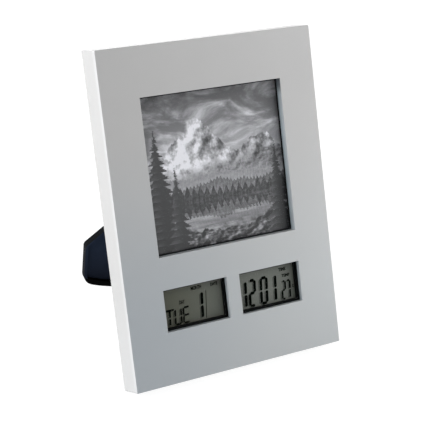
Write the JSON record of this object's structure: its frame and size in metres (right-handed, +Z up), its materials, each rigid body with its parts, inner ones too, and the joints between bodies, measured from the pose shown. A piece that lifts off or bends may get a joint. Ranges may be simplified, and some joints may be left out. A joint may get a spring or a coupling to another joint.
{
  "type": "photo frame clock",
  "caption": "Leaning photo frame with a square picture above two small displays for calendar and time, on a fold-out rear strut.",
  "frame": {"origin": "bottom centre of the whole part's box, with the strut out", "axes": "+Z up, -Y towards the viewer of the picture, +X to the viewer's right"},
  "size_m": [0.15, 0.1356, 0.2058],
  "materials": {
    "silver_shell": "satin silver lacquer on moulded plastic",
    "black_gasket": "matt black mat ring",
    "clear_pane": "clear acrylic pane",
    "printed_paper": "satin monochrome print",
    "grey_board": "grey backing card",
    "black_foam": "closed-cell foam",
    "black_cover": "fine textured black moulding",
    "steel_screw": "zinc plated",
    "black_bezel": "matt black moulding",
    "clear_lens": "clear acrylic lens",
    "display_glass": "grey-green liquid crystal glass",
    "display_film": "polarising film",
    "zebra_rubber": "elastomer connector",
    "circuit_laminate": "green solder mask",
    "black_resin": "potting resin and sleeves",
    "plated_can": "nickel plated",
    "switch_plastic": "switch housing",
    "battery_sleeve": "plain printed sleeve",
    "lead_sleeve": "insulated wire",
    "brass_disc": "sounder disc",
    "navy_strut": "dark navy, finely flocked",
    "black_rubber": "matt rubber foot",
    "button_plastic": "dark grey button caps",
    "clip_steel": "plated turn clip"
  },
  "bodies": {
    "frame": {"front_shell": "silver_shell", "photo_gasket": "black_gasket", "photo_window": "clear_pane", "photo_print": "printed_paper", "backing_board": "grey_board", "foam_strips": "black_foam", "photo_door": "black_cover", "clip_screws": "steel_screw", "display_bezel": "black_bezel", "calendar_lens": "clear_lens", "time_lens": "clear_lens", "calendar_display": "display_glass", "time_display": "display_glass", "front_polarisers": "display_film", "rear_reflectors": "display_film", "zebra_strips": "zebra_rubber", "circuit_board": "circuit_laminate", "clock_chip": "black_resin", "crystal": "plated_can", "capacitors": "black_resin", "thermistor": "black_resin", "push_switches": "switch_plastic", "module_screws": "steel_screw", "rear_cover": "black_cover", "cover_screws": "steel_screw", "battery": "battery_sleeve", "positive_contact": "plated_can", "negative_contact": "plated_can", "battery_leads": "lead_sleeve", "buzzer": "brass_disc", "hinge_pin": "steel_screw"},
    "strut": {"strut": "navy_strut", "strut_foot": "black_rubber"},
    "battery_door": {"battery_door": "black_cover"},
    "mode_button": {"mode_button": "button_plastic"},
    "set_button": {"set_button": "button_plastic"},
    "down_button": {"down_button": "button_plastic"},
    "up_button": {"up_button": "button_plastic"},
    "lower_left_clip": {"lower_left_clip": "clip_steel"},
    "lower_right_clip": {"lower_right_clip": "clip_steel"},
    "upper_left_clip": {"upper_left_clip": "clip_steel"},
    "upper_right_clip": {"upper_right_clip": "clip_steel"}
  },
  "joints": [
    {"name": "strut_hinge", "type": "hinge", "parent": "frame", "child": "strut", "pos_m": [0, 0.0151, 0.16026], "axis": [1, 0, 0], "range_deg": [-38.5, 0]},
    {"name": "battery_door_slide", "type": "slide", "parent": "frame", "child": "battery_door", "axis": [1, 0, 0], "range_m": [0, 0.005]},
    {"name": "mode_button_push", "type": "slide", "parent": "frame", "child": "mode_button", "axis": [0, -0.9336, 0.3584], "range_m": [0, 0.0008], "stiffness_N_per_m": 400, "springref_m": -0.0005},
    {"name": "set_button_push", "type": "slide", "parent": "frame", "child": "set_button", "axis": [0, -0.9336, 0.3584], "range_m": [0, 0.0008], "stiffness_N_per_m": 400, "springref_m": -0.0005},
    {"name": "down_button_push", "type": "slide", "parent": "frame", "child": "down_button", "axis": [0, -0.9336, 0.3584], "range_m": [0, 0.0008], "stiffness_N_per_m": 400, "springref_m": -0.0005},
    {"name": "up_button_push", "type": "slide", "parent": "frame", "child": "up_button", "axis": [0, -0.9336, 0.3584], "range_m": [0, 0.0008], "stiffness_N_per_m": 400, "springref_m": -0.0005},
    {"name": "lower_left_clip_turn", "type": "hinge", "parent": "frame", "child": "lower_left_clip", "pos_m": [-0.0626, -0.01453, 0.09312], "axis": [0, -0.9336, 0.3584], "range_deg": [0, 90]},
    {"name": "lower_right_clip_turn", "type": "hinge", "parent": "frame", "child": "lower_right_clip", "pos_m": [0.0626, -0.01453, 0.09312], "axis": [0, 0.9336, -0.3584], "range_deg": [0, 90]},
    {"name": "upper_left_clip_turn", "type": "hinge", "parent": "frame", "child": "upper_left_clip", "pos_m": [-0.0626, 0.00883, 0.15398], "axis": [0, -0.9336, 0.3584], "range_deg": [0, 90]},
    {"name": "upper_right_clip_turn", "type": "hinge", "parent": "frame", "child": "upper_right_clip", "pos_m": [0.0626, 0.00883, 0.15398], "axis": [0, 0.9336, -0.3584], "range_deg": [0, 90]}
  ]
}
